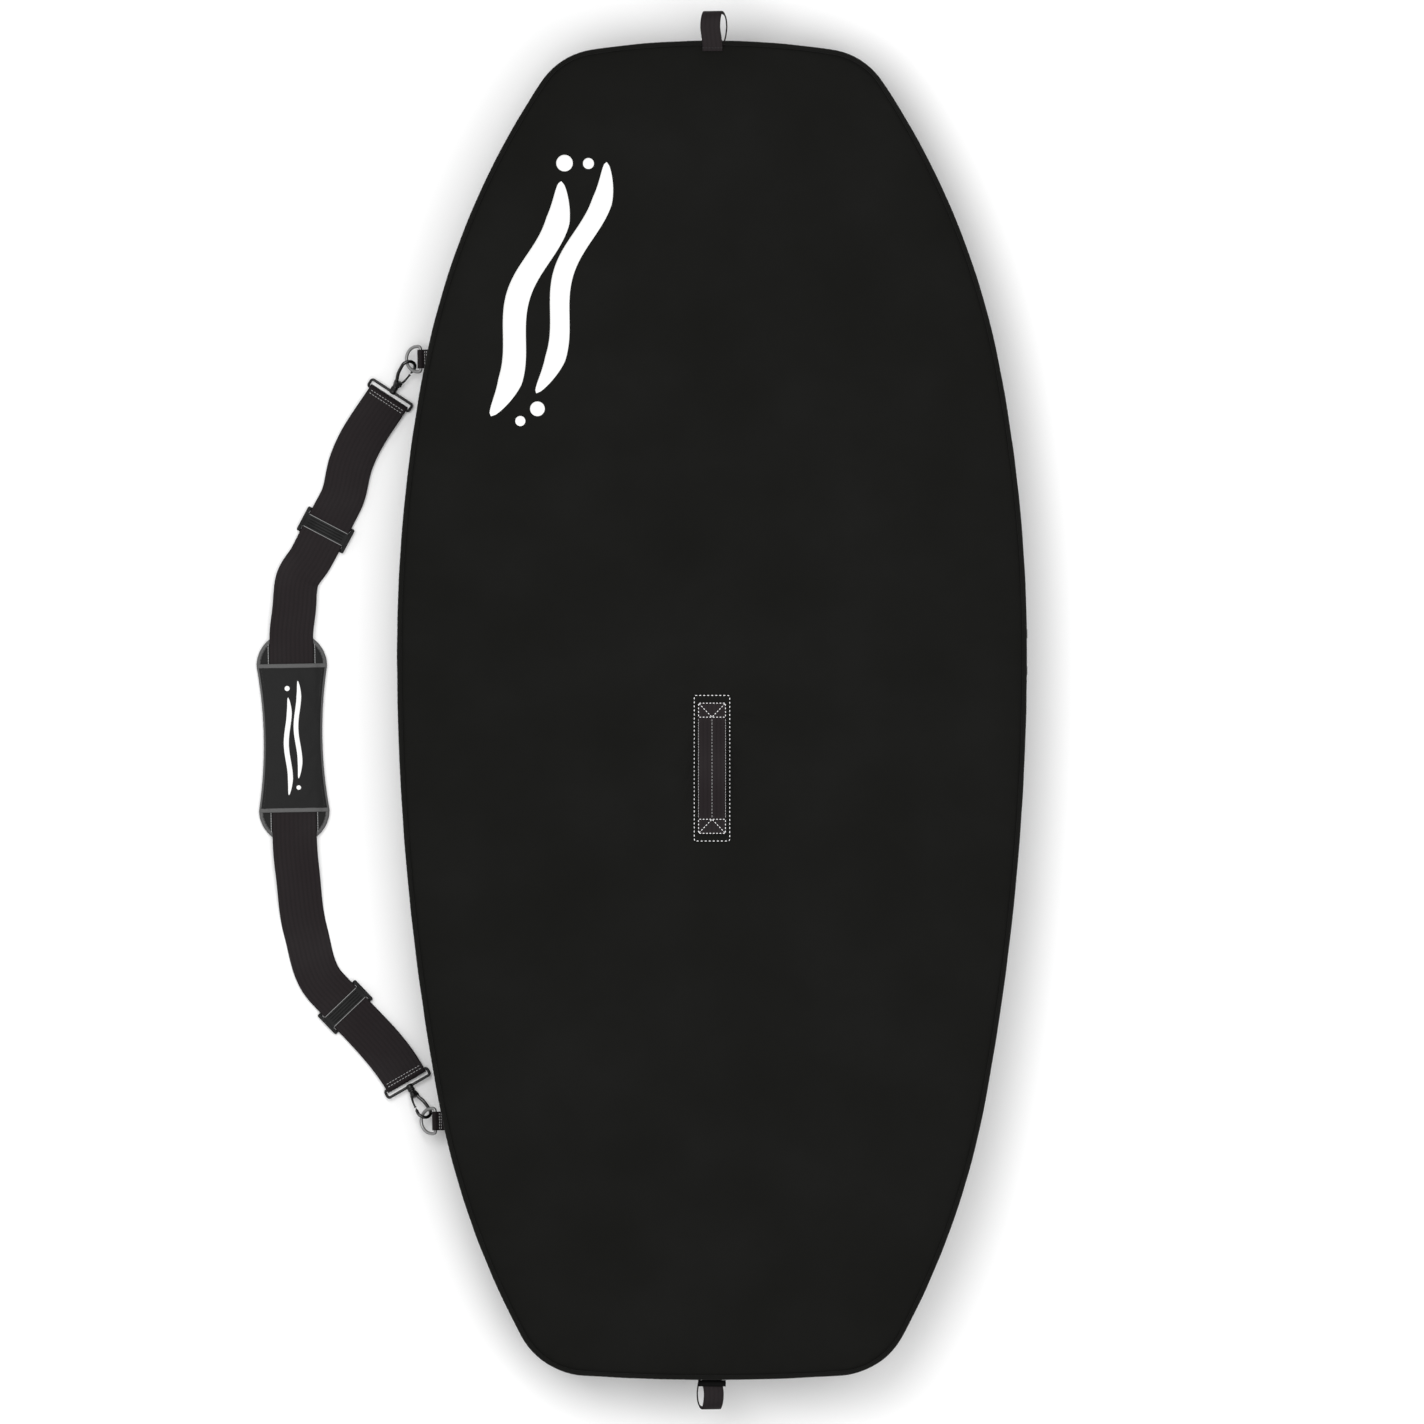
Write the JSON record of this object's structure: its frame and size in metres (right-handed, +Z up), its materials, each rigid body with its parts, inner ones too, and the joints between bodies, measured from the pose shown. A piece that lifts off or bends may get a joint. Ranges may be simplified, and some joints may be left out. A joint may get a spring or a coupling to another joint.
{
  "type": "padded board bag",
  "caption": "Flat padded carry bag shaped round a short wide board, closed by a zip round its sides, with a clip-on shoulder strap, a carry handle and a hang loop at each end.",
  "frame": {"origin": "middle of the underside of the bottom panel, on the floor, halfway between the nose and the tail", "axes": "+Y along the bag towards its nose, +X towards its right side, away from the strap, +Z up"},
  "size_m": [0.8388, 1.5187, 0.1557],
  "materials": {
    "shell_fabric": "matt woven polyester",
    "padding_foam": "closed-cell foam",
    "lining_fabric": "smooth reflective lining",
    "zip_tape": "woven zip tape",
    "zip_teeth": "moulded plastic teeth",
    "zip_metal": "dark nickel plate",
    "webbing": "ribbed polypropylene webbing",
    "label_fabric": "woven satin label",
    "hook_metal": "bright nickel plate",
    "black_metal": "black satin plating",
    "buckle_plastic": "moulded black plastic",
    "pad_fabric": "matt woven polyester",
    "binding_fabric": "grey woven tape"
  },
  "bodies": {
    "case": {"bottom_panel": "shell_fabric", "bottom_foam": "padding_foam", "bottom_lining": "lining_fabric", "bottom_piping": "shell_fabric", "lower_gusset_right": "shell_fabric", "lower_side_foam_right": "padding_foam", "lower_gusset_left": "shell_fabric", "lower_side_foam_left": "padding_foam", "tail_gusset": "shell_fabric", "tail_foam": "padding_foam", "lower_zip_tape": "zip_tape", "lower_zip_teeth": "zip_teeth", "zip_end_stop_right": "zip_metal", "zip_end_stop_left": "zip_metal", "tail_loop": "webbing", "tail_label": "label_fabric", "dring_tab_upper": "webbing", "dring_tab_lower": "webbing"},
    "lid": {"top_panel": "shell_fabric", "top_foam": "padding_foam", "top_lining": "lining_fabric", "top_piping": "shell_fabric", "upper_gusset_right": "shell_fabric", "upper_side_foam_right": "padding_foam", "upper_gusset_left": "shell_fabric", "upper_side_foam_left": "padding_foam", "upper_zip_tape": "zip_tape", "upper_zip_teeth": "zip_teeth", "handle_patch": "shell_fabric", "carry_handle": "webbing", "nose_loop": "webbing"},
    "strap": {"shoulder_webbing": "webbing", "hook_frame_upper": "black_metal", "hook_frame_lower": "black_metal"},
    "pad": {"pad_base": "pad_fabric", "pad_binding": "binding_fabric", "pad_cover": "pad_fabric"},
    "ring_upper": {"dring_upper": "hook_metal"},
    "hook_upper": {"snap_hook_upper": "hook_metal", "gate_pin_upper": "black_metal"},
    "gate_upper": {"hook_gate_upper": "black_metal"},
    "buckle_upper": {"slide_buckle_upper": "buckle_plastic"},
    "ring_lower": {"dring_lower": "hook_metal"},
    "hook_lower": {"snap_hook_lower": "hook_metal", "gate_pin_lower": "black_metal"},
    "gate_lower": {"hook_gate_lower": "black_metal"},
    "buckle_lower": {"slide_buckle_lower": "buckle_plastic"},
    "slider_tail": {"zip_slider_tail": "zip_metal"},
    "pull_tail": {"zip_pull_tail": "zip_metal"},
    "slider_nose": {"zip_slider_nose": "zip_metal"},
    "pull_nose": {"zip_pull_nose": "zip_metal"}
  },
  "joints": [
    {"name": "lid_hinge", "type": "hinge", "parent": "case", "child": "lid", "pos_m": [0, -0.725, 0.122], "axis": [1, 0, 0], "range_deg": [0, 110]},
    {"name": "strap_swing", "type": "hinge", "parent": "case", "child": "strap", "pos_m": [-0.301, -0.446, 0.028], "axis": [-0.0193, 0.9998, 0], "range_deg": [0, 80]},
    {"name": "pad_slide", "type": "slide", "parent": "strap", "child": "pad", "axis": [-0.0175, 0.9998, 0], "range_m": [-0.025, 0.025]},
    {"name": "ring_upper_pivot", "type": "hinge", "parent": "case", "child": "ring_upper", "pos_m": [-0.317, 0.383, 0.028], "axis": [-0.0193, 0.9998, 0], "range_deg": [0, 100]},
    {"name": "hook_upper_swivel", "type": "hinge", "parent": "strap", "child": "hook_upper", "pos_m": [-0.35262, 0.34015, 0.0039], "axis": [0.5061, 0.7793, 0.3696], "range_deg": [-20, 60]},
    {"name": "gate_upper_spring", "type": "hinge", "parent": "hook_upper", "child": "gate_upper", "pos_m": [-0.34028, 0.35541, 0.0103], "axis": [0.2737, -0.5515, 0.788], "range_deg": [0, 25], "stiffness_Nm_per_rad": 0.02, "springref_deg": -17.19},
    {"name": "buckle_upper_slide", "type": "slide", "parent": "strap", "child": "buckle_upper", "axis": [0.4648, 0.8854, 0], "range_m": [-0.012, 0.012]},
    {"name": "ring_lower_pivot", "type": "hinge", "parent": "case", "child": "ring_lower", "pos_m": [-0.301, -0.446, 0.028], "axis": [-0.0193, 0.9998, 0], "range_deg": [0, 100]},
    {"name": "hook_lower_swivel", "type": "hinge", "parent": "strap", "child": "hook_lower", "pos_m": [-0.33362, -0.40094, 0.0039], "axis": [0.461, -0.7985, 0.387], "range_deg": [-60, 20]},
    {"name": "gate_lower_spring", "type": "hinge", "parent": "hook_lower", "child": "gate_lower", "pos_m": [-0.32617, -0.4179, 0.01301], "axis": [0.2948, 0.5492, 0.782], "range_deg": [0, 25], "stiffness_Nm_per_rad": 0.02, "springref_deg": -17.19},
    {"name": "buckle_lower_slide", "type": "slide", "parent": "strap", "child": "buckle_lower", "axis": [-0.6909, 0.723, 0], "range_m": [-0.012, 0.012]},
    {"name": "zip_slider_tail_travel", "type": "hinge", "parent": "case", "child": "slider_tail", "pos_m": [-2.311, 0.064, 0.0741], "axis": [0, 0, 1], "range_deg": [-9.8, 0]},
    {"name": "zip_pull_tail_hinge", "type": "hinge", "parent": "slider_tail", "child": "pull_tail", "pos_m": [0.34073, 0.04401, 0.0741], "axis": [0, 0, 1], "range_deg": [0, 170]},
    {"name": "zip_slider_nose_travel", "type": "hinge", "parent": "case", "child": "slider_nose", "pos_m": [-1.295, 0.064, 0.0741], "axis": [0, 0, 1], "range_deg": [0, 9.8]},
    {"name": "zip_pull_nose_hinge", "type": "hinge", "parent": "slider_nose", "child": "pull_nose", "pos_m": [0.34068, 0.08399, 0.0741], "axis": [0, 0, 1], "range_deg": [-170, 0]}
  ],
  "couplings": [
    {"joint": "ring_upper_pivot", "follows": "strap_swing", "ratio": 1},
    {"joint": "ring_lower_pivot", "follows": "strap_swing", "ratio": 1}
  ]
}
